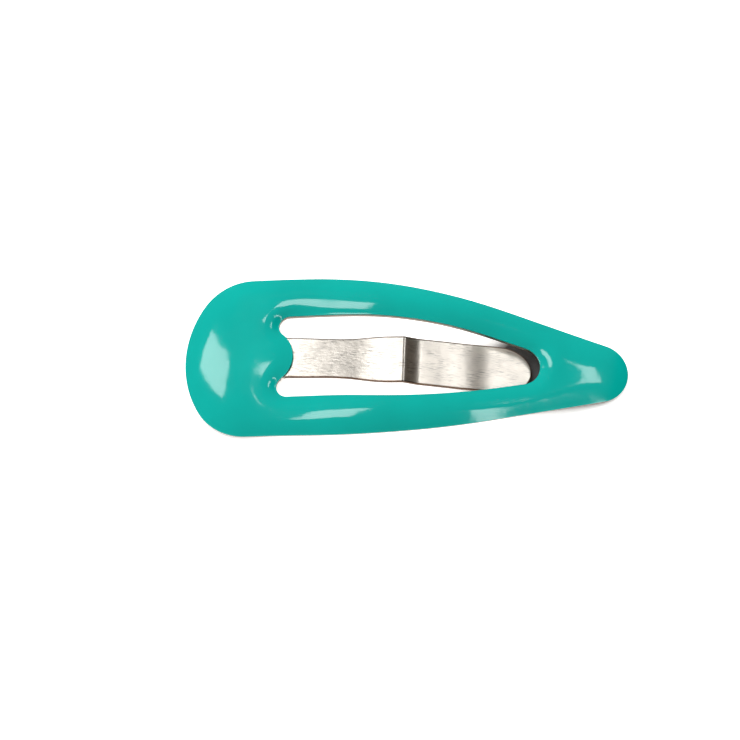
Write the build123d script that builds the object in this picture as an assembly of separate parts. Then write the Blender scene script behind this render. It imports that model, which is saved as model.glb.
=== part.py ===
from build123d import *
from math import acos, atan2, degrees, hypot
import os

os.makedirs("parts", exist_ok=True)

# Overall sizes in mm; X runs from the wide end to the narrow tip, Z is up
LENGTH = 50.0
WIDTH = 18.65
ARCH = 3.5
SHEET = 0.45
COAT = 0.85

# Frame in plan: solid lengths at both ends, leg width, and the rounded ends
HEEL = 10.5
TOE = 10.0
LEG = 4.525
TIP_WIDTH = 6.8
OPENING_TIP_WIDTH = 4.4
CROWN_RADIUS = 42.0

# Tongue inside the opening, with the slots beside its root
SLOT = 2.45
TONGUE_SIDE = 2.1
TONGUE_END_GAP = 0.9
TONGUE_ROUNDING = 3.6
TONGUE_DROP = 2.4

# Length of the coat's front on the tongue, past the slots' ends
COAT_FRONT = 1.7

# Rivet and the overlap of the two leg ends, one sheet under the other
OVERLAP = 8.6
RIVET = 1.6
RIVET_TOP = 2.2
RIVET_HEAD = 2.8
RIVET_HEAD_HEIGHT = 0.3

# Clearances between pieces that touch on the real clip
GAP = 0.02
EDGE = 0.14
ROOT_GAP = 0.1
HOLE_GAP = 0.03
LAP_GAP = 0.05

# Sizes that follow the ones above
HALF = WIDTH / 2
NOSE_RADIUS = 0.636 * WIDTH
CORNER_RADIUS = 0.348 * WIDTH
OPENING_WIDTH = WIDTH - 2 * LEG
OPENING_END = LENGTH - TOE
TONGUE_WIDTH = OPENING_WIDTH - 2 * TONGUE_SIDE
TONGUE_ROOT_WIDTH = OPENING_WIDTH - 2 * SLOT
TONGUE_TIP = OPENING_END - TONGUE_END_GAP
SLOT_RADIUS = SLOT / 2
SLOT_X = HEEL + SLOT_RADIUS
SLOT_Y = (OPENING_WIDTH - SLOT) / 2
ROOT_X = SLOT_X - 0.6 * SLOT_RADIUS
FRONT_X = HEEL + COAT_FRONT
FOOT = SHEET / 2
LAP = SHEET + LAP_GAP
SHOULDER = 0.65 * COAT
ABOVE = 3 * (ARCH + SHEET + COAT)

# Form of the sheet from the wide end to the tip: share of LENGTH, rise of the outer
# edge as a share of ARCH, half width there as a share of HALF, and share of the full crown
FORM = (
    (-0.04, -0.15, 0.00, 0.00),
    (0.00, 0.000, 0.00, 0.00),
    (0.08, 0.290, 0.91, 0.01),
    (0.16, 0.540, 1.00, 0.06),
    (0.26, 0.795, 1.00, 0.28),
    (0.35, 0.935, 0.99, 0.78),
    (0.43, 1.000, 0.96, 1.00),
    (0.52, 0.975, 0.90, 1.00),
    (0.60, 0.885, 0.82, 0.88),
    (0.67, 0.765, 0.74, 0.50),
    (0.74, 0.610, 0.65, 0.16),
    (0.82, 0.405, 0.54, 0.04),
    (0.91, 0.180, 0.42, 0.01),
    (1.00, 0.000, 0.00, 0.00),
    (1.04, -0.06, 0.00, 0.00),
)

# Form of the tongue: share of its length, and mid height as a share of TONGUE_DROP
# above or below the height of the root
WAVE = (
    (-0.03, -0.02),
    (0.000, 0.000),
    (0.045, 0.035),
    (0.120, 0.090),
    (0.220, 0.107),
    (0.330, 0.110),
    (0.420, 0.225),
    (0.474, 0.345),
    (0.505, 0.310),
    (0.550, 0.160),
    (0.640, -0.020),
    (0.735, -0.270),
    (0.860, -0.650),
    (1.000, -1.000),
)


def thick_arc(x, edge_z, half, crown, low, high):
    """Closed section across the sheet between two heights above its middle."""
    radius = CROWN_RADIUS / max(crown, 0.04)
    centre = edge_z + half**2 / (2 * radius) - radius
    reach = degrees(1.1 * HALF / radius)
    outer = CenterArc((0, centre), radius + high, 90 - reach, 2 * reach)
    inner = CenterArc((0, centre), radius + low, 90 - reach, 2 * reach)
    right = Line(outer @ 0, inner @ 0)
    left = Line(outer @ 1, inner @ 1)
    section = Plane(origin=(x, 0, 0), x_dir=(0, 1, 0), z_dir=(1, 0, 0))
    return section * make_face([outer, inner, right, left])


def slab(low, high):
    """The arched and crowned layer between two heights above the sheet's middle."""
    sections = [
        thick_arc(LENGTH * along, FOOT + ARCH * rise + LAP * along, HALF * half, crown, low, high)
        for along, rise, half, crown in FORM
    ]
    return loft(sections)


def half_to_tip(start_x, half, tip_radius, tip_x, bend):
    """Side arc, straight run and tip rounding above the long axis, where bend is the
    share of the radius at which the arc alone would reach the rounding."""
    dx = tip_x - tip_radius - start_x
    radius = bend * (dx**2 + half**2 - tip_radius**2) / (2 * (half - tip_radius))
    dy = radius - half
    normal = degrees(atan2(dy, dx) + acos((radius - tip_radius) / hypot(dx, dy)))
    side = CenterArc((start_x, half - radius), radius, 90, normal - 90)
    tip = CenterArc((tip_x - tip_radius, 0), tip_radius, normal, -normal)
    return [side, Line(side @ 1, tip @ 0), tip]


def outline():
    """Plan of the whole clip."""
    reach = NOSE_RADIUS - CORNER_RADIUS
    rise = HALF - CORNER_RADIUS
    corner_x = NOSE_RADIUS - (reach**2 - rise**2) ** 0.5
    turn = degrees(atan2(rise, NOSE_RADIUS - corner_x))
    nose = CenterArc((NOSE_RADIUS, 0), NOSE_RADIUS, 180, -turn)
    corner = CenterArc((corner_x, rise), CORNER_RADIUS, 180 - turn, turn - 90)
    start_x = 0.28 * LENGTH
    flat = Line(corner @ 1, (start_x, HALF))
    upper = [nose, corner, flat] + half_to_tip(start_x, HALF, TIP_WIDTH / 2, LENGTH, 0.86)
    face = make_face(upper + [Line((0, 0), (LENGTH, 0))])
    return face + mirror(face, Plane.XZ)


def coat_opening():
    """Plan of the opening in the coat, with the slots' ends and the front on the tongue."""
    side_x = HEEL + 0.33 * (OPENING_END - HEEL)
    half = OPENING_WIDTH / 2
    back = FRONT_X - SLOT_X
    radius = (SLOT_Y**2 + back**2 - SLOT_RADIUS**2) / (2 * (SLOT_RADIUS + back))
    turn = degrees(atan2(SLOT_Y, radius - back))
    front = CenterArc((FRONT_X - radius, 0), radius, 0, turn)
    slot = CenterArc((SLOT_X, SLOT_Y), SLOT_RADIUS, 180 + turn, -90 - turn)
    side = Line(slot @ 1, (side_x, half))
    upper = half_to_tip(side_x, half, OPENING_TIP_WIDTH / 2, OPENING_END, 0.96)
    face = make_face([front, slot, side] + upper + [Line((OPENING_END, 0), front @ 0)])
    return face + mirror(face, Plane.XZ)


def frame_opening():
    """Plan of the opening in the sheet, from the root line of the tongue."""
    root = Rectangle(2 * (FRONT_X - ROOT_X), 2 * SLOT_Y, align=(Align.MIN, Align.CENTER))
    return coat_opening() + Pos(ROOT_X, 0) * root


def tongue_plan():
    """Plan of the tongue, flared between the slots' ends at its root."""
    start = ROOT_X + ROOT_GAP
    narrow = TONGUE_ROOT_WIDTH / 2 - GAP
    wide = TONGUE_WIDTH / 2
    shoulder_x = TONGUE_TIP - TONGUE_ROUNDING
    reach = TONGUE_TIP - start
    edge = Spline(
        (SLOT_X, narrow),
        (start + 0.28 * reach, 0.9 * narrow + 0.1 * wide),
        (start + 0.38 * reach, 0.15 * narrow + 0.85 * wide),
        (start + 0.48 * reach, wide),
        (shoulder_x, wide),
        tangents=((1, 0), (1, 0)),
    )
    tip = EllipticalCenterArc((shoulder_x, 0), TONGUE_ROUNDING, wide, start_angle=0, arc_size=90)
    base = Line((SLOT_X, 0), (TONGUE_TIP, 0))
    half = make_face([Line((SLOT_X, 0), (SLOT_X, narrow)), edge, tip, base])
    flare = Rectangle(SLOT_X - start, 2 * SLOT_Y, align=(Align.MIN, Align.CENTER))
    slots = [Pos(SLOT_X, y) * Circle(SLOT_RADIUS + GAP) for y in (SLOT_Y, -SLOT_Y)]
    return half + mirror(half, Plane.XZ) + (Pos(start, 0) * flare - slots)


def wave(start_z):
    """The tongue's bent strip, as deep as the clip is wide."""
    start = ROOT_X + ROOT_GAP
    middle = [
        Vector(start + (TONGUE_TIP - start) * along, start_z + TONGUE_DROP * rise)
        for along, rise in WAVE
    ]
    ahead = middle[1:] + [2 * middle[-1] - middle[-2]]
    behind = [2 * middle[0] - middle[1]] + middle[:-1]
    normals = [(b - a).normalized().rotate(Axis.Z, 90) for a, b in zip(behind, ahead)]
    top = Spline([p + n * SHEET / 2 for p, n in zip(middle, normals)])
    bottom = Spline([p - n * SHEET / 2 for p, n in zip(middle, normals)])
    section = make_face([top, bottom, Line(top @ 0, bottom @ 0), Line(top @ 1, bottom @ 1)])
    return extrude(Plane.XZ * section, TONGUE_WIDTH, both=True)


def rest_on(layer, x):
    """Point and slope of a layer's upper face on the long axis."""
    point, normal = layer.find_intersection_points(Axis((x, 0, -ABOVE), (0, 0, 1)))[-1]
    return Plane(origin=point, x_dir=(normal.Z, 0, -normal.X), z_dir=normal)


def rivet_body(grow):
    """Countersunk top, shank and lower head, built down from the sheet's upper face."""
    depth = LAP + SHEET + HOLE_GAP
    align = (Align.CENTER, Align.CENTER, Align.MAX)
    top = Pos(0, 0, -GAP / 2) * Cone(RIVET / 2 + grow, RIVET_TOP / 2 + grow, 0.8 * SHEET, align=align)
    shank = Pos(0, 0, -GAP / 2) * Cylinder(RIVET / 2 + grow, depth, align=align)
    head = Pos(0, 0, -depth) * Cylinder(RIVET_HEAD / 2, RIVET_HEAD_HEIGHT, align=align)
    rim = head.faces().sort_by(Axis.Z)[0].edges()
    return top + shank + fillet(rim, 0.7 * RIVET_HEAD_HEIGHT)


def prism(plan):
    """Plan raised through the whole height."""
    return Pos(0, 0, -ABOVE / 2) * extrude(plan, 1.5 * ABOVE)


def spring_frame(sheet):
    """Stamped sheet with its leg ends lying one over the other at the tip."""
    blank = offset(outline(), -EDGE)
    plate = prism(blank - frame_opening()) & sheet
    start = LENGTH - OVERLAP
    under = offset(outline(), -2 * EDGE)
    tip = Pos(start, 0) * Rectangle(1.1 * OVERLAP, WIDTH, align=(Align.MIN, Align.CENTER))
    lower = prism(under & tip) & slab(-SHEET / 2 - LAP, SHEET / 2 - LAP)
    step = Pos(start, 0) * Rectangle(3 * SHEET, WIDTH, align=(Align.MIN, Align.MAX))
    joggle = prism(under & step) & slab(-SHEET / 2 - LAP, 0)
    return plate + lower + joggle


sheet = slab(-SHEET / 2, SHEET / 2)
pad = rest_on(sheet, LENGTH - OVERLAP / 2)
root = rest_on(sheet, ROOT_X)

frame = spring_frame(sheet) - pad * rivet_body(HOLE_GAP)
tongue = prism(tongue_plan()) & wave(root.origin.Z - SHEET / 2)
resin = prism(outline() - coat_opening()) & slab(SHEET / 2 + GAP, SHEET / 2 + GAP + COAT)
crest = max(resin.faces(), key=lambda face: face.area * (face.normal_at(None).Z > 0))
coat = fillet(crest.edges(), SHOULDER)

pieces = {
    "spring_frame": frame,
    "tongue": tongue,
    "enamel_coat": coat,
    "rivet": pad * rivet_body(0),
}
lowest = min(piece.bounding_box().min.Z for piece in pieces.values())
for name, piece in pieces.items():
    export_step(Pos(-LENGTH / 2, 0, -lowest) * piece, f"parts/{name}.step")
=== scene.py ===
"""The looks of a snap hair clip: the domed enamel coat, the bright tongue, the steel
spring frame with its rivet, and a small studio. One operator makes each of them."""

from math import cos, pi, radians, sin

import bmesh
import bpy
import numpy as np
from mathutils import Matrix, Vector


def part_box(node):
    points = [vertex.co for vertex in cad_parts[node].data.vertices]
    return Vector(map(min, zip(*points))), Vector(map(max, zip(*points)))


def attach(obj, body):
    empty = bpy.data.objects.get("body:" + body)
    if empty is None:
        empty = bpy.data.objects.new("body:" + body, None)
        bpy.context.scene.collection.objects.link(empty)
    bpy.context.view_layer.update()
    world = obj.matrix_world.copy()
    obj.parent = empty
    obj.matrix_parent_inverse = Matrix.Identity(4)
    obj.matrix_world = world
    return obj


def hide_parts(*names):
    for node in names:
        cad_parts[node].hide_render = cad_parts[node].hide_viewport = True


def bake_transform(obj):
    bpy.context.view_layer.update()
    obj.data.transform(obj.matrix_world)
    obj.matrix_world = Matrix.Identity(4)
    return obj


bl_info = {
    "name": "Snap Hair Clip",
    "version": (1, 0, 0),
    "blender": (4, 5, 0),
    "location": "View3D > Sidebar > Hair Clip",
    "description": "Enamelled snap hair clip with a bright steel tongue",
    "category": "Add Mesh",
}

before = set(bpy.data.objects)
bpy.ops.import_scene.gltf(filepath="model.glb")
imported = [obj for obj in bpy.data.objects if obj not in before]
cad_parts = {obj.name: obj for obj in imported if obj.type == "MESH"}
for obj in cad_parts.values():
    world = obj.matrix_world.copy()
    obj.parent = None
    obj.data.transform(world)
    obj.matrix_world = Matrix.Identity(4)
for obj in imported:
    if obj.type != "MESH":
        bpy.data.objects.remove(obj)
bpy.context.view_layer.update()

MM = 0.001
LOW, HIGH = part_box("enamel_coat")

# Form of the sheet from the wide end to the tip: share of the length, rise of the outer
# edge as a share of the arch, half width there as a share of half the clip's width, and
# share of the full crown
FORM = np.array((
    (-0.04, -0.15, 0.00, 0.00),
    (0.00, 0.000, 0.00, 0.00),
    (0.08, 0.290, 0.91, 0.01),
    (0.16, 0.540, 1.00, 0.06),
    (0.26, 0.795, 1.00, 0.28),
    (0.35, 0.935, 0.99, 0.78),
    (0.43, 1.000, 0.96, 1.00),
    (0.52, 0.975, 0.90, 1.00),
    (0.60, 0.885, 0.82, 0.88),
    (0.67, 0.765, 0.74, 0.50),
    (0.74, 0.610, 0.65, 0.16),
    (0.82, 0.405, 0.54, 0.04),
    (0.91, 0.180, 0.42, 0.01),
    (1.00, 0.000, 0.00, 0.00),
    (1.04, -0.06, 0.00, 0.00),
))

# Form of the tongue: share of its length, and mid height as a share of the drop
WAVE = np.array((
    (-0.03, -0.02),
    (0.000, 0.000),
    (0.045, 0.038),
    (0.120, 0.100),
    (0.190, 0.139),
    (0.265, 0.170),
    (0.330, 0.200),
    (0.420, 0.298),
    (0.4740, 0.3822),
    (0.4800, 0.3916),
    (0.4828, 0.3914),
    (0.4858, 0.3823),
    (0.4920, 0.3540),
    (0.546, 0.107),
    (0.556, 0.079),
    (0.573, 0.037),
    (0.650, -0.148),
    (0.740, -0.373),
    (0.757, -0.407),
    (0.812, -0.504),
    (0.834, -0.552),
    (0.870, -0.645),
    (0.930, -0.808),
    (1.000, -1.000),
))

# Width of the tongue: share of its length, and share of the step from the narrow root
# width to the full width
FLARE = np.array((
    (-0.05, 0.00),
    (0.10, 0.00),
    (0.28, 0.10),
    (0.38, 0.85),
    (0.48, 1.00),
    (0.60, 1.00),
    (1.00, 1.00),
))

# Where the poured enamel stands a little high or low, in millimetres: distance from the
# wide end, distance across to the far side, radius of the swell, and height
SWELLS = np.array((
    (6.5, 4.6, 2.0, 0.03),
    (8.0, -2.0, 1.8, -0.03),
    (9.3, 4.8, 1.4, 0.12),
    (9.3, -4.6, 1.6, -0.03),
    (11.5, 6.8, 2.0, 0.07),
    (13.5, -6.8, 2.5, 0.04),
    (16.0, 5.5, 2.0, -0.06),
    (21.0, -7.0, 3.0, -0.04),
    (41.5, 1.2, 1.6, 0.05),
    (41.5, -1.2, 1.6, -0.06),
    (43.3, -0.5, 1.4, -0.04),
    (46.0, 1.5, 1.5, 0.03),
))

# Softboxes: the direction to the lamp as its parts along the clip and across to the far
# side, half width and half height as seen from the clip in shares of the distance, turn
# in radians, and brightness
SOFTBOXES = {
    "softbox_overhead": (-0.24, 0.08, 0.125, 0.19, -0.15, 6.5),
    "softbox_left": (-0.70, 0.31, 0.17, 0.10, -0.45, 6.5),
    "softbox_right": (0.43, 0.25, 0.045, 0.135, 0.10, 6.5),
    "strip_right": (0.46, -0.38, 0.035, 0.34, 0.30, 6.5),
}

# How the coat's two edges are joined across it, from the wide end to the tip: share of
# the half inner edge, and share of the half outer edge
ACROSS = np.array((
    (0.000, 0.000),
    (0.075, 0.060),
    (0.150, 0.270),
    (0.420, 0.430),
    (0.700, 0.640),
    (0.920, 0.880),
    (1.000, 1.000),
))

# Outline: radii of the wide end's nose and corners as shares of the width, and where the
# side arcs start, as shares of the clip's and of the opening's length, with their bends
NOSE = 0.636
CORNER = 0.348
SIDE_START = 0.28
SIDE_BEND = 0.86
OPENING_SIDE_START = 0.33
OPENING_SIDE_BEND = 0.96

# Least share of the crown that a row of FORM counts with, so that its radius stays finite
FLATTEST = 0.04

# Smooth distance: the least distance to the end of a piece of wall, the share of it under
# which the piece is seen end on, and the least sum over all pieces
TOUCHING = 1e-12
END_ON = 1e-4
LEAST_SUM = 1e-9

# Coat: distance from the edges over which the crown and the swells set in, the angle at
# which the curl under the rim starts, and how far inside the edges the coat's foot lies
SHOULDER = 0.3 * MM
CURL_START = radians(80)
FOOT = 0.35 * MM

# Tongue: how far before its tip the middle line ends, in shares of the rounding, the power
# that gathers the points near its edge, and where past the root the cut edges turn bare
SPINE_END = 0.6
GATHER = 0.7
BARE_FROM = 0.15 * MM
BARE_FULL = 0.45 * MM

# Distance at which points of a mesh that fold onto each other are merged
MERGE = 0.0005 * MM

# Fineness of each noise along the clip, across it and up, in cells per metre
DRIFT_GRAIN = (160.0, 160.0, 160.0)
SKIN_GRAIN = (380.0, 380.0, 380.0)
SCRATCH_GRAIN = (900.0, 14000.0, 0.0)
PATCH_GRAIN = (350.0, 700.0, 0.0)
DULL_GRAIN = (500.0, 500.0, 500.0)
RIPPLE_GRAIN = (1400.0, 5000.0, 0.0)
FLOOR_GRAIN = (60.0, 60.0, 60.0)

# Values of a noise between which the mask that is made of it grows
DRIFT_RANGE = (0.3, 0.7)
SCRATCH_RANGE = (0.50, 0.68)
PATCH_RANGE = (0.42, 0.60)
DULL_RANGE = (0.35, 0.75)

# Heights of the fine relief on the enamel's skin and on the brushed plating
SKIN_RELIEF = 0.020 * MM
RIPPLE_RELIEF = 0.015 * MM

# Shares of its colour that a surface keeps: enamel where it is deepest, plating where it
# is dull, the tongue's scratches, and the scratches of the other steel
DEEP_ENAMEL = 0.90
DULL_PLATING = 0.80
TONGUE_SCRATCH = 0.35
STEEL_SCRATCH = 0.6

# How much the resin bends light, and how far up or down a normal points on a steel side
# where the colour of the cut begins and is full
RESIN_IOR = 1.52
CUT_FROM = 0.75
CUT_FULL = 0.45

# Steel of the CAD's own pieces: name, colour, roughness, and colour of the cut sides
STEELS = {
    "spring_frame": ("frame_plating", (0.80, 0.77, 0.72), 0.32, (0.20, 0.15, 0.115)),
    "rivet": ("rivet_plating", (0.70, 0.66, 0.60), 0.36, (0.45, 0.40, 0.34)),
}

# Colour sockets of a Mix node: its two inputs and its result
MIX_FIRST = 6
MIX_SECOND = 7
MIX_RESULT = 2

# Large overhead fill: direction, half width, half height and turn as for the softboxes
FILL = (-0.30, 0.50, 0.30, 0.30, 0.0)

# Floor: half its side in metres, its roughness, and the least share of its colour
FLOOR_HALF = 0.6
FLOOR_ROUGH = 0.9
FLOOR_DRIFT = 0.985

# Openness of the floor, 1 where nothing is near: where its glow ends and where it is
# full, so that shade is painted into the glow where the clip is close above, and where the
# painted deep shade under the tongue's tip is full and where it ends
GLOW_NONE = 0.38
GLOW_FULL = 0.54
SHADE_FULL = 0.60
SHADE_NONE = 0.85

# The painted deep shade on the floor round the tongue's tip: its middle, as distances back
# from the opening's end and across to the far side, the radii at which it starts to fade
# and has faded, and the share of light in it
SHADE_BACK = 1.6 * MM
SHADE_ACROSS = 0.9 * MM
SHADE_INNER = 3.2 * MM
SHADE_OUTER = 4.6 * MM
SHADE_LIGHT = 0.07

# Rightward part of the direction at which the room's dark side begins and is full
DARK_FROM = 0.50
DARK_FULL = 0.60

# Camera: height of its aim, the aim's distances to the left of the clip's middle and
# below it in the picture, width of the film in millimetres, and range of view in metres
AIM_HEIGHT = 2.0 * MM
AIM_LEFT = 4.12 * MM
AIM_DOWN = 0.55 * MM
FILM = 36.0
NEAREST = 0.01
FURTHEST = 10.0


def length(name, millimetres, description, least=0.0):
    """A length property, held in metres, whose default is given in millimetres."""
    return bpy.props.FloatProperty(
        name=name, description=description, default=millimetres * MM, min=least, unit="LENGTH", precision=5
    )


def angle(name, degrees, description):
    """An angle property, held in radians, whose default is given in degrees."""
    return bpy.props.FloatProperty(
        name=name, description=description, default=radians(degrees), subtype="ANGLE"
    )


def number(name, value, description, top=1.0):
    """A property for a share or another plain number."""
    return bpy.props.FloatProperty(name=name, description=description, default=value, min=0.0, max=top)


def colour(name, value, description):
    """A colour property."""
    return bpy.props.FloatVectorProperty(
        name=name, description=description, default=value, size=3, min=0.0, max=1.0, subtype="COLOR"
    )


class HairClipForm(bpy.types.PropertyGroup):
    """Sizes of the stamped sheet that the other pieces follow."""

    length: length("Length", (HIGH.x - LOW.x) / MM, "From the wide end to the tip")
    width: length("Width", (HIGH.y - LOW.y) / MM, "Across the wide end")
    arch: length("Arch", 3.5, "Rise of the sheet's outer edge over its ends")
    sheet: length("Sheet", 0.45, "Thickness of the steel sheet")
    lap: length("Lap", 0.5, "Height that the tip is raised by the lower leg")
    lift: length("Lift", -0.03, "Height of the sheet's datum over the floor", -1.0)
    crown: length("Crown Radius", 42.0, "Radius of the sheet across, where it is fullest")
    heel: length("Heel", 10.5, "From the wide end to the ends of the slots")
    toe: length("Toe", 10.0, "From the opening's end to the tip")
    leg: length("Leg", 4.525, "Width of a leg beside the tongue's root")
    slot: length("Slot", 2.45, "Width of the slots beside the tongue's root")
    front: length("Front", 1.7, "How far the coat reaches past the slots' ends")
    tip_width: length("Tip Width", 6.8, "Rounding of the clip's tip")
    opening_tip: length("Opening Tip Width", 4.4, "Rounding of the opening's end")


class HairClipEnamel(bpy.types.PropertyGroup):
    """Sizes and finish of the enamel coat."""

    seat: length("Seat", 0.02, "Height of the coat's foot over the sheet")
    belly: length("Belly", 0.25, "Height at which the coat's sides stand out furthest")
    dome: length("Dome", 0.5, "Height of the dome over the belly in the middle of a leg")
    ease: length("Ease", 5.0, "Distance from the edges at which the dome flattens")
    power: number("Power", 1.2, "How slowly the dome rises from the edges", 3.0)
    middle: length("Middle", 1.1, "Distance from the edges in the middle of a leg")
    crown: length("Crown Radius", 47.0, "Radius of the coat's top across, where it is fullest")
    curl: length("Curl", 0.12, "How far the sides draw in under the belly")
    hang: length("Hang", 0.10, "How far the outer rim hangs past the sheet's top")
    tint: colour("Tint", (0.0, 0.46, 0.40), "Colour of the enamel")
    gloss: number("Roughness", 0.08, "Roughness of the cured surface")


class HairClipTongue(bpy.types.PropertyGroup):
    """Sizes and finish of the bright tongue."""

    root: length("Root", 10.99, "From the wide end to the tongue's bending line")
    wave_start: length("Wave Start", 11.09, "From the wide end to the start of the wave")
    root_width: length("Root Width", 4.66, "Width between the slots")
    width: length("Width", 5.4, "Width of the free part")
    end_gap: length("End Gap", 0.9, "From the tongue's tip to the opening's end")
    rounding: length("Rounding", 3.6, "Length of the rounded tip")
    drop: length("Drop", 2.4, "Fall from the root to the tip")
    roll: length("Edge Roll", 0.07, "Radius of the stamped edge")
    tint: colour("Tint", (0.88, 0.83, 0.76), "Colour of the bright plating")
    cut: colour("Cut Tint", (0.11, 0.06, 0.035), "Colour of the bare cut edges")
    rough: number("Roughness", 0.31, "Roughness of the brushed plating")
    brushed: number("Brushed", 0.7, "How much more the plating spreads the light across")


class HairClipStage(bpy.types.PropertyGroup):
    """The studio floor, lights and camera."""

    floor: colour("Floor", (0.92, 0.92, 0.92), "Colour of the floor")
    glow: number("Glow", 0.85, "Light that the backlit floor gives by itself", 4.0)
    corner: length("Corner", 4.0, "Reach within which the floor finds what is close above it")
    room: colour("Room", (0.17, 0.16, 0.145), "Colour of the room round the softboxes")
    dark_wall: colour("Dark Wall", (0.030, 0.018, 0.007), "Colour of the room's dark side, on the right")
    fill: number("Fill", 5.65, "Brightness of the large overhead fill", 10.0)
    lamp_distance: length("Lamp Distance", 3000.0, "From the clip to the softboxes")
    azimuth: angle("Azimuth", 2.15, "Turn of the camera from the front")
    elevation: angle("Elevation", 70.0, "Camera above the horizon")
    distance: length("Distance", 350.0, "From the camera to the clip")
    lens: number("Lens", 151.2, "Focal length in millimetres", 1000.0)


def sweep(centre, radius, start, end, step=0.02 * MM):
    """Points of a circle arc: the centre plus the radius turned evenly from the start
    angle to the end angle, in radians."""
    turn = np.linspace(start, end, max(4, int(abs(end - start) * radius / step)))
    return np.stack((centre[0] + radius * np.cos(turn), centre[1] + radius * np.sin(turn)), axis=1)


def half_to_tip(start_x, half, tip_radius, tip_x, bend):
    """Side arc and tip rounding above the long axis. The side's radius is the share bend
    of the one at which it alone would reach the rounding, and the two share a normal."""
    dx = tip_x - tip_radius - start_x
    radius = bend * (dx**2 + half**2 - tip_radius**2) / (2 * (half - tip_radius))
    dy = radius - half
    normal = np.arctan2(dy, dx) + np.arccos((radius - tip_radius) / np.hypot(dx, dy))
    side = sweep((start_x, half - radius), radius, pi / 2, normal)
    tip = sweep((tip_x - tip_radius, 0.0), tip_radius, normal, 0.0)
    return np.concatenate((side, tip))


def outer_half(form):
    """Half of the clip's outline from the wide end to the tip: a wide nose arc, a
    tangent corner arc, a straight run, a side arc and the tip's rounding."""
    half = form.width / 2
    nose_radius = NOSE * form.width
    corner_radius = CORNER * form.width
    reach = nose_radius - corner_radius
    rise = half - corner_radius
    corner_x = nose_radius - (reach**2 - rise**2) ** 0.5
    turn = np.arctan2(rise, nose_radius - corner_x)
    nose = sweep((nose_radius, 0.0), nose_radius, pi, pi - turn)
    corner = sweep((corner_x, rise), corner_radius, pi - turn, pi / 2)
    side_x = SIDE_START * form.length
    side = half_to_tip(side_x, half, form.tip_width / 2, form.length, SIDE_BEND)
    return np.concatenate((nose, corner, side))


def inner_half(form):
    """Half of the coat's opening from its front on the tongue to the far end: a bulging
    front arc, tangent to the slot's round end, a straight run, a side arc and the end."""
    half = form.width / 2 - form.leg
    radius = form.slot / 2
    centre = (form.heel + radius, half - radius)
    front_x = form.heel + form.front
    back = front_x - centre[0]
    bulge = (centre[1] ** 2 + back**2 - radius**2) / (2 * (radius + back))
    turn = np.arctan2(centre[1], bulge - back)
    front = sweep((front_x - bulge, 0.0), bulge, 0.0, turn)
    slot = sweep(centre, radius, pi + turn, pi / 2)
    end_x = form.length - form.toe
    side_x = form.heel + OPENING_SIDE_START * (end_x - form.heel)
    side = half_to_tip(side_x, half, form.opening_tip / 2, end_x, OPENING_SIDE_BEND)
    return np.concatenate((front, slot, side))


def travelled(line):
    """Length along a line of points, from its first one."""
    return np.concatenate(([0.0], np.cumsum(np.hypot(*np.diff(line, axis=0).T))))


def at_shares(line, shares):
    """Points of a line at shares of its length."""
    along = travelled(line)
    return np.stack([np.interp(shares * along[-1], along, line[:, k]) for k in (0, 1)], axis=1)


def both_halves(half):
    """Closed loop of a half line that starts and ends on the long axis, and its mirror
    image back to the start."""
    return np.concatenate((half, (half * (1.0, -1.0))[-2:0:-1]))


def inward(loop, side):
    """Unit normals of a closed loop of points, turned to the left of its run for side 1
    and to the right for -1."""
    run = np.roll(loop, -1, axis=0) - np.roll(loop, 1, axis=0)
    run /= np.hypot(run[:, 0], run[:, 1])[:, None]
    return side * np.stack((-run[:, 1], run[:, 0]), axis=1)


def spline_weights(knots, x):
    """Weights of the natural cubic spline through values at the knots, one row for each
    x: the spline's second derivatives solve the usual three-term system."""
    gap = np.diff(knots)
    count = len(knots)
    system = np.eye(count)
    right = np.zeros((count, count))
    for k in range(1, count - 1):
        system[k, k - 1 : k + 2] = (gap[k - 1], 2 * (gap[k - 1] + gap[k]), gap[k])
        right[k, k - 1 : k + 2] = (6 / gap[k - 1], -6 / gap[k - 1] - 6 / gap[k], 6 / gap[k])
    bend = np.linalg.solve(system, right)
    cell = np.clip(np.searchsorted(knots, x) - 1, 0, count - 2)
    past = (x - knots[cell]) / gap[cell]
    left = 1 - past
    rows = np.arange(len(x))
    weights = np.zeros((len(x), count))
    weights[rows, cell] = left
    weights[rows, cell + 1] += past
    square = gap[cell][:, None] ** 2 / 6
    bent = (left**3 - left)[:, None] * bend[cell] + (past**3 - past)[:, None] * bend[cell + 1]
    return weights + square * bent


def sheet_height(form, x, y, above, crown=None):
    """Height of the layer that lies at a distance above the sheet's middle: at each row
    of FORM the layer is a circle arc across, and a spline through the rows joins them.
    A crown radius of its own may be given instead of the sheet's."""
    rise = form.sheet / 2 + form.arch * FORM[:, 1] + form.lap * FORM[:, 0]
    radius = (crown or form.crown) / np.maximum(FORM[:, 3], FLATTEST)
    half = form.width / 2 * FORM[:, 2]
    centre = rise + half**2 / (2 * radius) - radius
    flat_x, flat_y = np.ravel(x), np.ravel(y)
    high = np.broadcast_to(above, np.shape(x)).ravel()
    arcs = centre + np.sqrt((radius + high[:, None]) ** 2 - flat_y[:, None] ** 2)
    weights = spline_weights(form.length * FORM[:, 0], flat_x)
    return np.sum(weights * arcs, axis=1).reshape(np.shape(x))


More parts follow.
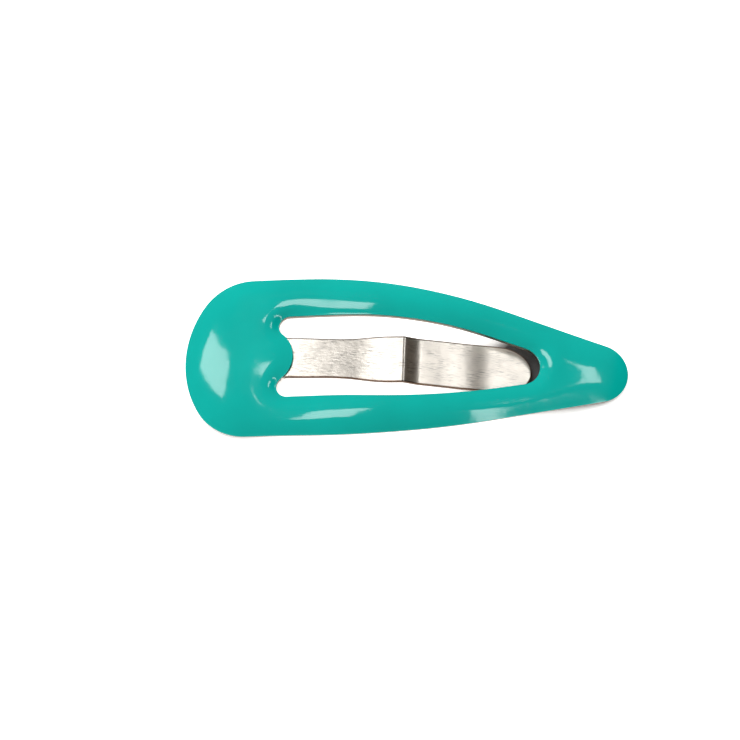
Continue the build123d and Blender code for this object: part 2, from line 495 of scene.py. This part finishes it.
def mean_distance(points, loops, at_a_time=2000):
    """Smooth distance to the walls around each point: two over the integral, over all
    directions, of one over the distance to the wall. The part of a straight piece of
    wall is the difference of the sines at its ends, over its distance from the point,
    and where the piece is seen end on, the limit of that."""
    flat = points.reshape(-1, 2)
    total = np.zeros(len(flat))
    for loop, side in loops:
        start, end = loop, np.roll(loop, -1, axis=0)
        run = end - start
        size = np.hypot(run[:, 0], run[:, 1])
        tx, ty = (run / size[:, None]).T
        for block in np.array_split(np.arange(len(flat)), max(1, len(flat) // at_a_time)):
            ax = start[:, 0] - flat[block, 0, None]
            ay = start[:, 1] - flat[block, 1, None]
            away = side * (ax * ty - ay * tx)
            along = ax * tx + ay * ty
            far = np.maximum(np.sqrt(along**2 + away**2), TOUCHING)
            after = along + size
            far_after = np.maximum(np.sqrt(after**2 + away**2), TOUCHING)
            end_on = np.abs(away) < END_ON * far
            broad = (after / far_after - along / far) / np.where(end_on, 1.0, away)
            thin = away * size / (far * far_after * (far + far_after) / 2)
            total[block] += np.sum(np.where(end_on, thin, broad), axis=1)
    return (2 / np.maximum(total, LEAST_SUM)).reshape(points.shape[:-1])


def ring_mesh(name, rows, rim=None, meet=True):
    """Mesh of a grid of points whose rows each close. The last row meets the first one,
    or else each of the two folds onto itself along a line, and its points are merged.
    The values of rim, one for each point, are kept as an attribute of that name."""
    count, across = rows.shape[:2]
    index = np.arange(count * across).reshape(count, across)
    ahead, beside = np.roll(index, -1, axis=0), np.roll(index, -1, axis=1)
    both = np.roll(ahead, -1, axis=1)
    faces = np.stack((index, beside, both, ahead), axis=-1)
    faces = (faces if meet else faces[:-1]).reshape(-1, 4)
    mesh = bpy.data.meshes.new(name)
    mesh.vertices.add(count * across)
    mesh.vertices.foreach_set("co", rows.astype(np.float32).ravel())
    mesh.loops.add(faces.size)
    mesh.loops.foreach_set("vertex_index", faces.astype(np.int32).ravel())
    mesh.polygons.add(len(faces))
    first_corners = np.arange(0, faces.size, faces.shape[1], dtype=np.int32)
    mesh.polygons.foreach_set("loop_start", first_corners)
    mesh.update(calc_edges=True)
    mesh.polygons.foreach_set("use_smooth", np.ones(len(faces), bool))
    if rim is not None:
        layer = mesh.attributes.new("rim", "FLOAT", "POINT")
        layer.data.foreach_set("value", rim.astype(np.float32).ravel())
    if not meet:
        shell = bmesh.new()
        shell.from_mesh(mesh)
        bmesh.ops.remove_doubles(shell, verts=shell.verts, dist=MERGE)
        shell.to_mesh(mesh)
        shell.free()
    mesh.validate()
    return mesh


def brushing_map(mesh, span):
    """A UV map whose first direction runs across the brushing, so over the strip and
    down its sides, and whose second runs along it, in shares of the span. The clip's
    middle is at the map's."""
    place = np.empty(3 * len(mesh.vertices))
    mesh.vertices.foreach_get("co", place)
    corner = np.empty(len(mesh.loops), dtype=np.int32)
    mesh.loops.foreach_get("vertex_index", corner)
    x, y, z = place.reshape(-1, 3)[corner].T
    layer = mesh.uv_layers.new(name="brushing")
    middle = 0.5
    spots = np.stack((middle + (y + z) / span, middle + x / span), axis=1)
    layer.data.foreach_set("uv", spots.ravel())


def add_piece(mesh, material):
    """An object of the mesh, at the origin, with its material."""
    mesh.materials.append(material)
    piece = bpy.data.objects.new(mesh.name, mesh)
    bpy.context.scene.collection.objects.link(piece)
    return piece


def over_origin(form, x, y, z):
    """Points measured from the wide end and the sheet's datum, moved so that the clip's
    middle stands over the origin."""
    return np.stack((x - form.length / 2, y, z + form.lift), axis=-1)


def dome_height(form, enamel, top, near, middle):
    """Height of the coat's top over the sheet: the belly, plus the dome, which rises as
    the power of d / (ease + d) for the smooth distance d, plus what a flatter crown than
    the sheet's adds or takes away from the middle line, plus the swells of the pour.
    The last two set in over the shoulder beside the edges."""
    rise = (near / (enamel.ease + near)) ** enamel.power
    full = (enamel.middle / (enamel.ease + enamel.middle)) ** enamel.power
    layer = form.sheet / 2 + enamel.seat
    flatter = [
        sheet_height(form, x, y, layer, enamel.crown) - sheet_height(form, x, y, layer)
        for x, y in ((top[..., 0], top[..., 1]), (middle[:, 0], middle[:, 1]))
    ]
    shoulder = near / (SHOULDER + near)
    along, beside, radius, height = (SWELLS * MM).T
    apart = (top[..., :1] - along) ** 2 + (top[..., 1:] - beside) ** 2
    swell = np.exp(-apart / radius**2) @ height
    return enamel.belly + enamel.dome * rise / full + shoulder * (flatter[0] - flatter[1] + swell)


def enamel_rows(form, enamel, columns=900, across=56, turns=6, fine=4001, wall_points=600):
    """The coat as rows round the clip. Across it, a row runs up the outer side on an
    elliptic curl, over the dome and down the inner side, and closes along the sheet."""
    outer, inner = outer_half(form), inner_half(form)
    inner_share = np.linspace(0, 1, fine)
    outer_share = np.interp(inner_share, ACROSS[:, 0], ACROSS[:, 1])
    mixed = (inner_share + outer_share) / 2
    even = np.linspace(0, 1, columns // 2 + 1)
    inner_share = np.interp(even, mixed, inner_share)
    outer_share = np.interp(even, mixed, outer_share)
    rim = both_halves(at_shares(outer, outer_share))
    lip = both_halves(at_shares(inner, inner_share))
    rim_in, lip_in = inward(rim, -1), inward(lip, 1)

    share_across = (1 - np.cos(np.linspace(0, pi, across))) / 2
    top = rim + share_across[:, None, None] * (lip - rim)
    steps = np.linspace(0, 1, wall_points)
    walls = [(both_halves(at_shares(half, steps)), side) for half, side in ((outer, -1), (inner, 1))]
    near = mean_distance(top, walls)
    near[0] = near[-1] = 0
    height = dome_height(form, enamel, top, near, (rim + lip) / 2)

    turn = np.linspace(CURL_START, 0, turns + 1)[:-1, None]
    draw = (enamel.curl * (1 - np.cos(turn)))[..., None]
    sunk = np.sin(turn) * np.ones(len(rim))
    outer_curl = rim + draw * rim_in
    outer_height = enamel.belly - (enamel.belly + enamel.hang) * sunk
    inner_curl = (lip + draw * lip_in)[::-1]
    inner_height = (enamel.belly - enamel.belly * sunk)[::-1]

    outer_foot = (rim + FOOT * rim_in)[None]
    inner_foot = (lip + FOOT * lip_in)[None]
    plan = np.concatenate((outer_foot, outer_curl, top, inner_curl, inner_foot))
    on_sheet = np.zeros((1, len(rim)))
    over = np.concatenate((on_sheet, outer_height, height, inner_height, on_sheet))
    z = sheet_height(form, plan[..., 0], plan[..., 1], form.sheet / 2 + enamel.seat + over)
    return over_origin(form, plan[..., 0], plan[..., 1], z)


def tongue_edge(form, tongue, count=420, fine=400):
    """Half of the tongue's edge in plan, from its root to the middle of its tip: the
    slot's round end, the flared side and a quarter ellipse."""
    radius = form.slot / 2
    centre = (form.heel + radius, form.width / 2 - form.leg - radius)
    free = form.length - form.toe - tongue.end_gap
    reach = free - tongue.wave_start
    shoulder = free - tongue.rounding
    low = np.arccos((tongue.root - centre[0]) / -radius)
    round_end = sweep(centre, radius, pi + low, 1.5 * pi)
    side_x = np.linspace(centre[0], shoulder, fine)[1:]
    wider = spline_weights(FLARE[:, 0], (side_x - tongue.wave_start) / reach) @ FLARE[:, 1]
    side_y = tongue.root_width / 2 + (tongue.width - tongue.root_width) / 2 * wider
    turn = np.linspace(pi / 2, 0, fine)[1:]
    tip = np.stack((shoulder + tongue.rounding * np.cos(turn), side_y[-1] * np.sin(turn)), axis=1)
    root = np.array(((tongue.root, 0.0), (tongue.root, round_end[0, 1])))
    line = np.concatenate((root, round_end[1:], np.stack((side_x, side_y), axis=1), tip))
    return at_shares(line, np.linspace(0, 1, count))


def tongue_rows(form, tongue, across=14, turns=5, step=0.01 * MM):
    """The tongue as rows round its edge. A row starts on the middle line on top, runs
    out to the edge, rolls round it and comes back underneath. Its height is the wave's
    spline along the tongue, moved half a sheet along the wave's normal. The second result
    marks the cut edges, but not the root, where the sheet runs on."""
    loop = both_halves(tongue_edge(form, tongue))
    into = inward(loop, -1)
    free = form.length - form.toe - tongue.end_gap
    spine_x = np.clip(loop[:, 0], tongue.root, free - SPINE_END * tongue.rounding)
    spine = np.stack((spine_x, np.zeros(len(loop))), axis=1)

    half, roll = form.sheet / 2, tongue.roll
    turn = np.linspace(0, pi / 2, turns + 1)
    inset = roll * (1 - np.sin(turn))
    inset = np.concatenate((inset, inset[::-1]))
    fall = roll * (1 - np.cos(turn))
    rolled = np.concatenate((half - fall, fall[::-1] - half))

    share_in = np.linspace(0, 1, across + 1)[:-1] ** GATHER
    flat = spine + share_in[:, None, None] * (loop + roll * into - spine)
    plan = np.concatenate((flat, loop + inset[:, None, None] * into, flat[::-1]))
    level = np.concatenate((np.full(across, half), rolled, np.full(across, -half)))[:, None]
    edge = np.concatenate((np.zeros(across), np.ones(len(inset)), np.zeros(across)))[:, None]

    knots = tongue.wave_start + (free - tongue.wave_start) * WAVE[:, 0]
    x, y = plan[..., 0], plan[..., 1]
    here, ahead = (
        (spline_weights(knots, place.ravel()) @ WAVE[:, 1]).reshape(x.shape) * tongue.drop
        for place in (x, x + step)
    )
    slope = np.arctan2(ahead - here, step)
    root_z = sheet_height(form, np.array([tongue.root]), np.array([0.0]), half)[0] - half
    rows = over_origin(form, x - level * np.sin(slope), y, root_z + here + level * np.cos(slope))
    bare = np.clip((x - tongue.root - BARE_FROM) / (BARE_FULL - BARE_FROM), 0, 1)
    return rows, edge * bare


def new_tree(name):
    """A new material, its node tree, and the one shader in it."""
    material = bpy.data.materials.new(name)
    material.use_nodes = True
    tree = material.node_tree
    tree.nodes.clear()
    output = tree.nodes.new("ShaderNodeOutputMaterial")
    shader = tree.nodes.new("ShaderNodeBsdfPrincipled")
    tree.links.new(shader.outputs["BSDF"], output.inputs["Surface"])
    return material, tree, shader


def add_group(tree, group):
    """The group placed in a tree and fed with object coordinates."""
    node = tree.nodes.new("ShaderNodeGroup")
    node.node_tree = group
    place = tree.nodes.new("ShaderNodeTexCoord")
    tree.links.new(place.outputs["Object"], node.inputs["Place"])
    return node


def start_group(name, given, result):
    """An empty shader node group with one vector input and one value output, and the
    sockets inside it."""
    group = bpy.data.node_groups.new(name, "ShaderNodeTree")
    group.interface.new_socket(given, in_out="INPUT", socket_type="NodeSocketVector")
    group.interface.new_socket(result, in_out="OUTPUT", socket_type="NodeSocketFloat")
    start, end = group.nodes.new("NodeGroupInput"), group.nodes.new("NodeGroupOutput")
    return group, start.outputs[given], end.inputs[result]


def math_node(tree, operation, first, second=None):
    """A Math node on sockets or numbers, and its output."""
    node = tree.nodes.new("ShaderNodeMath")
    node.operation = operation
    for slot, value in enumerate((first, second)):
        if isinstance(value, bpy.types.NodeSocket):
            tree.links.new(value, node.inputs[slot])
        elif value is not None:
            node.inputs[slot].default_value = value
    return node.outputs[0]


def noise_node(tree, place, grain):
    """Noise of a given fineness along the clip, across it and up, and its value."""
    mapping = tree.nodes.new("ShaderNodeMapping")
    mapping.inputs["Scale"].default_value = grain
    noise = tree.nodes.new("ShaderNodeTexNoise")
    noise.inputs["Scale"].default_value = 1.0
    tree.links.new(place, mapping.inputs["Vector"])
    tree.links.new(mapping.outputs[0], noise.inputs["Vector"])
    return noise.outputs["Fac"]


def ramp_node(tree, value, low, high, first=0.0, last=1.0):
    """A value taken from a range to another, held at both ends."""
    node = tree.nodes.new("ShaderNodeMapRange")
    for title, amount in (("From Min", low), ("From Max", high), ("To Min", first), ("To Max", last)):
        node.inputs[title].default_value = amount
    tree.links.new(value, node.inputs["Value"])
    return node.outputs["Result"]


def blend_node(tree, mask, first, second):
    """Two colours mixed by a mask."""
    node = tree.nodes.new("ShaderNodeMix")
    node.data_type = "RGBA"
    for slot, value in ((MIX_FIRST, first), (MIX_SECOND, second)):
        if isinstance(value, bpy.types.NodeSocket):
            tree.links.new(value, node.inputs[slot])
        else:
            node.inputs[slot].default_value = (*value, 1.0)
    tree.links.new(mask, node.inputs[0])
    return node.outputs[MIX_RESULT]


def vector_node(tree, operation, first):
    """A Vector Math node whose first vector is held."""
    node = tree.nodes.new("ShaderNodeVectorMath")
    node.operation = operation
    node.inputs[0].default_value = first
    return node


def add_relief(tree, shader, value, height):
    """Fine relief on the shader's surface, of the given height where the value is one."""
    bump = tree.nodes.new("ShaderNodeBump")
    bump.inputs["Distance"].default_value = height
    tree.links.new(value, bump.inputs["Height"])
    tree.links.new(bump.outputs["Normal"], shader.inputs["Normal"])


def darker(tint, kept):
    """A colour of which a share is kept."""
    return tuple(kept * c for c in tint)


def scratches_group():
    """Short fine scratches along the strip, in patches, as a mask."""
    found = bpy.data.node_groups.get("lengthwise_scratches")
    if found:
        return found
    group, place, mask = start_group("lengthwise_scratches", "Place", "Mask")
    fine = ramp_node(group, noise_node(group, place, SCRATCH_GRAIN), *SCRATCH_RANGE)
    patches = ramp_node(group, noise_node(group, place, PATCH_GRAIN), *PATCH_RANGE)
    group.links.new(math_node(group, "MULTIPLY", fine, patches), mask)
    return group


def enamel_material(enamel):
    """Glossy resin enamel: one even colour with a faint drift, and a gently uneven skin."""
    material, tree, shader = new_tree("turquoise_enamel")
    place = tree.nodes.new("ShaderNodeTexCoord").outputs["Object"]
    drift = ramp_node(tree, noise_node(tree, place, DRIFT_GRAIN), *DRIFT_RANGE)
    tint = blend_node(tree, drift, darker(enamel.tint, DEEP_ENAMEL), enamel.tint)
    tree.links.new(tint, shader.inputs["Base Color"])
    add_relief(tree, shader, noise_node(tree, place, SKIN_GRAIN), SKIN_RELIEF)
    shader.inputs["Roughness"].default_value = enamel.gloss
    shader.inputs["IOR"].default_value = RESIN_IOR
    return material


def steel_material(name, tint, rough, cut_tint):
    """Bright plated steel with lengthwise scratches. The sides, which face neither up nor
    down, have the darker colour of the cut."""
    material, tree, shader = new_tree(name)
    place = tree.nodes.new("ShaderNodeTexCoord")
    mask = add_group(tree, scratches_group()).outputs["Mask"]
    scored = blend_node(tree, mask, tint, darker(tint, STEEL_SCRATCH))
    parts = tree.nodes.new("ShaderNodeSeparateXYZ")
    tree.links.new(place.outputs["Normal"], parts.inputs[0])
    upright = math_node(tree, "ABSOLUTE", parts.outputs["Z"])
    cut = ramp_node(tree, upright, CUT_FROM, CUT_FULL)
    tree.links.new(blend_node(tree, cut, scored, cut_tint), shader.inputs["Base Color"])
    shader.inputs["Roughness"].default_value = rough
    shader.inputs["Metallic"].default_value = 1.0
    return material


def tongue_material(tongue):
    """The tongue's bright plating, brushed along its length, so that it spreads the
    light across. Its cut edges are bare and brown."""
    material, tree, shader = new_tree("bright_plating")
    place = tree.nodes.new("ShaderNodeTexCoord").outputs["Object"]
    dull = ramp_node(tree, noise_node(tree, place, DULL_GRAIN), *DULL_RANGE)
    plate = blend_node(tree, dull, tongue.tint, darker(tongue.tint, DULL_PLATING))
    mask = add_group(tree, scratches_group()).outputs["Mask"]
    scored = blend_node(tree, mask, plate, darker(tongue.tint, TONGUE_SCRATCH))
    rim = tree.nodes.new("ShaderNodeAttribute")
    rim.attribute_name = "rim"
    edged = blend_node(tree, rim.outputs["Fac"], scored, tongue.cut)
    tree.links.new(edged, shader.inputs["Base Color"])
    add_relief(tree, shader, noise_node(tree, place, RIPPLE_GRAIN), RIPPLE_RELIEF)
    brushing = tree.nodes.new("ShaderNodeTangent")
    brushing.direction_type = "UV_MAP"
    brushing.uv_map = "brushing"
    tree.links.new(brushing.outputs[0], shader.inputs["Tangent"])
    shader.inputs["Roughness"].default_value = tongue.rough
    shader.inputs["Anisotropic"].default_value = tongue.brushed
    shader.inputs["Metallic"].default_value = 1.0
    return material


class HAIRCLIP_OT_enamel(bpy.types.Operator):
    """Makes the domed enamel coat."""

    bl_idname = "hairclip.enamel"
    bl_label = "Enamel Coat"

    def execute(self, context):
        form, enamel = context.scene.hairclip_form, context.scene.hairclip_enamel
        coat = add_piece(ring_mesh("enamel_dome", enamel_rows(form, enamel)), enamel_material(enamel))
        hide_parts("enamel_coat")
        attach(coat, "frame")
        return {"FINISHED"}


class HAIRCLIP_OT_tongue(bpy.types.Operator):
    """Makes the waved tongue, whose root lies on the frame's sheet."""

    bl_idname = "hairclip.tongue"
    bl_label = "Tongue"

    def execute(self, context):
        form, tongue = context.scene.hairclip_form, context.scene.hairclip_tongue
        rows, edge = tongue_rows(form, tongue)
        mesh = ring_mesh("bright_tongue", rows, edge, meet=False)
        brushing_map(mesh, form.length)
        strip = add_piece(mesh, tongue_material(tongue))
        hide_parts("tongue")
        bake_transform(strip)
        return {"FINISHED"}


class HAIRCLIP_OT_steel(bpy.types.Operator):
    """Gives the spring frame and its rivet their steel."""

    bl_idname = "hairclip.steel"
    bl_label = "Spring Frame and Rivet"

    def execute(self, context):
        for name, row in STEELS.items():
            finish = steel_material(*row)
            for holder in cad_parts[name].material_slots:
                holder.material = finish
        return {"FINISHED"}


def softbox(name, distance, along, beside, half_width, half_height, turn, brightness):
    """A rectangular light that faces the clip. Its power is its brightness times its
    area times pi."""
    lamp = bpy.data.lights.new(name, "AREA")
    lamp.shape = "RECTANGLE"
    lamp.size = 2 * half_width * distance
    lamp.size_y = 2 * half_height * distance
    lamp.energy = brightness * pi * lamp.size * lamp.size_y
    holder = bpy.data.objects.new(name, lamp)
    back = Vector((along, beside, (1 - along**2 - beside**2) ** 0.5))
    side = Vector((0, 1, 0)).cross(back).normalized()
    rise = back.cross(side)
    width_axis = side * cos(turn) + rise * sin(turn)
    height_axis = rise * cos(turn) - side * sin(turn)
    holder.location = back * distance
    holder.rotation_mode = "QUATERNION"
    holder.rotation_quaternion = Matrix((width_axis, height_axis, back)).transposed().to_quaternion()
    bpy.context.scene.collection.objects.link(holder)
    return holder


class HAIRCLIP_OT_stage(bpy.types.Operator):
    """Makes the floor, the soft lights and the camera."""

    bl_idname = "hairclip.stage"
    bl_label = "Studio"

    def execute(self, context):
        scene, stage = context.scene, context.scene.hairclip_stage
        self.make_floor(scene, stage, scene.hairclip_form)
        self.make_sky(scene, stage)
        for name, row in SOFTBOXES.items():
            softbox(name, stage.lamp_distance, *row)
        fill = softbox("overhead_fill", stage.lamp_distance, *FILL, stage.fill)
        fill.visible_glossy = False
        self.make_camera(scene, stage)
        scene.view_settings.view_transform = "Standard"
        return {"FINISHED"}

    def make_floor(self, scene, stage, form):
        """A wide plain sheet under the clip. It gives some light by itself. Shade is painted
        into it: its glow fades where the clip is close above it, and its colour and glow are
        painted dark in the gap round the tongue's tip."""
        far = FLOOR_HALF
        corners = ((-far, -far, 0), (far, -far, 0), (far, far, 0), (-far, far, 0))
        mesh = bpy.data.meshes.new("studio_floor")
        mesh.from_pydata(corners, [], [(0, 1, 2, 3)])
        ground = bpy.data.objects.new("studio_floor", mesh)
        scene.collection.objects.link(ground)

        material, tree, shader = new_tree("pale_floor")
        place = tree.nodes.new("ShaderNodeTexCoord").outputs["Object"]
        around = tree.nodes.new("ShaderNodeAmbientOcclusion")
        around.inputs["Distance"].default_value = stage.corner
        openness = around.outputs["AO"]
        # Painted shadow: a patch round the tongue's tip where the floor's colour and glow are darkened
        gap = (form.length / 2 - form.toe - SHADE_BACK, SHADE_ACROSS, 0.0)
        from_gap = vector_node(tree, "DISTANCE", gap)
        tree.links.new(place, from_gap.inputs[1])
        outside = ramp_node(tree, from_gap.outputs["Value"], SHADE_INNER, SHADE_OUTER)
        clear = ramp_node(tree, openness, SHADE_FULL, SHADE_NONE)
        painted_shade = ramp_node(tree, math_node(tree, "MAXIMUM", outside, clear), 0.0, 1.0, SHADE_LIGHT)

        noise = noise_node(tree, place, FLOOR_GRAIN)
        drift = ramp_node(tree, noise, *DRIFT_RANGE, FLOOR_DRIFT)
        tint = vector_node(tree, "SCALE", tuple(stage.floor))
        tree.links.new(math_node(tree, "MULTIPLY", drift, painted_shade), tint.inputs["Scale"])
        tree.links.new(tint.outputs[0], shader.inputs["Base Color"])
        shader.inputs["Roughness"].default_value = FLOOR_ROUGH
        # Painted shade: the floor's glow fades where the clip is close above it
        glow_with_painted_shade = math_node(tree, "MULTIPLY", ramp_node(tree, openness, GLOW_NONE, GLOW_FULL), painted_shade)
        glow = blend_node(tree, glow_with_painted_shade, (0.0, 0.0, 0.0), (1.0, 1.0, 1.0))
        tree.links.new(glow, shader.inputs["Emission Color"])
        shader.inputs["Emission Strength"].default_value = stage.glow
        mesh.materials.append(material)

    def make_sky(self, scene, stage):
        """A dim room round the softboxes, with a dark side on the right."""
        world = bpy.data.worlds.new("studio_room")
        world.use_nodes = True
        tree = world.node_tree
        tree.nodes.clear()
        output = tree.nodes.new("ShaderNodeOutputWorld")
        sky = tree.nodes.new("ShaderNodeBackground")
        way = tree.nodes.new("ShaderNodeTexCoord").outputs["Generated"]
        parts = tree.nodes.new("ShaderNodeSeparateXYZ")
        tree.links.new(way, parts.inputs[0])
        rightward = ramp_node(tree, parts.outputs["X"], DARK_FROM, DARK_FULL)
        tree.links.new(blend_node(tree, rightward, stage.room, stage.dark_wall), sky.inputs["Color"])
        tree.links.new(sky.outputs[0], output.inputs["Surface"])
        scene.world = world

    def make_camera(self, scene, stage):
        """A long lens, aimed a little to the left of and below the clip's middle."""
        turn, rise = stage.azimuth, stage.elevation
        back = Vector((sin(turn) * cos(rise), -cos(turn) * cos(rise), sin(rise)))
        right = Vector((cos(turn), sin(turn), 0.0))
        up = back.cross(right)
        aim = Vector((0.0, 0.0, AIM_HEIGHT)) - AIM_LEFT * right - AIM_DOWN * up
        lens = bpy.data.cameras.new("studio_camera")
        lens.lens = stage.lens
        lens.sensor_width = FILM
        lens.clip_start = NEAREST
        lens.clip_end = FURTHEST
        camera = bpy.data.objects.new("studio_camera", lens)
        camera.location = aim + stage.distance * back
        camera.rotation_mode = "QUATERNION"
        camera.rotation_quaternion = back.to_track_quat("Z", "Y")
        scene.collection.objects.link(camera)
        scene.camera = camera


class HAIRCLIP_PT_sidebar(bpy.types.Panel):
    """Lists the pieces and their sizes."""

    bl_idname = "HAIRCLIP_PT_sidebar"
    bl_label = "Hair Clip"
    bl_space_type = "VIEW_3D"
    bl_region_type = "UI"
    bl_category = "Hair Clip"

    def draw(self, context):
        for operator, settings in PIECES:
            box = self.layout.box()
            box.operator(operator.bl_idname)
            group = getattr(context.scene, settings)
            for title in group.bl_rna.properties.keys():
                if title not in ("rna_type", "name"):
                    box.prop(group, title)


GROUPS = {
    "hairclip_form": HairClipForm,
    "hairclip_enamel": HairClipEnamel,
    "hairclip_tongue": HairClipTongue,
    "hairclip_stage": HairClipStage,
}
PIECES = (
    (HAIRCLIP_OT_steel, "hairclip_form"),
    (HAIRCLIP_OT_enamel, "hairclip_enamel"),
    (HAIRCLIP_OT_tongue, "hairclip_tongue"),
    (HAIRCLIP_OT_stage, "hairclip_stage"),
)


def register():
    """Adds the classes and their settings."""
    for name, group in GROUPS.items():
        bpy.utils.register_class(group)
        setattr(bpy.types.Scene, name, bpy.props.PointerProperty(type=group))
    for operator, _ in PIECES:
        bpy.utils.register_class(operator)
    bpy.utils.register_class(HAIRCLIP_PT_sidebar)


def unregister():
    """Takes the classes and their settings away."""
    bpy.utils.unregister_class(HAIRCLIP_PT_sidebar)
    for operator, _ in reversed(PIECES):
        bpy.utils.unregister_class(operator)
    for name, group in reversed(GROUPS.items()):
        delattr(bpy.types.Scene, name)
        bpy.utils.unregister_class(group)


def main():
    """Makes every piece in order."""
    register()
    bpy.ops.hairclip.steel()
    bpy.ops.hairclip.enamel()
    bpy.ops.hairclip.tongue()
    bpy.ops.hairclip.stage()


if __name__ == "__main__":
    main()
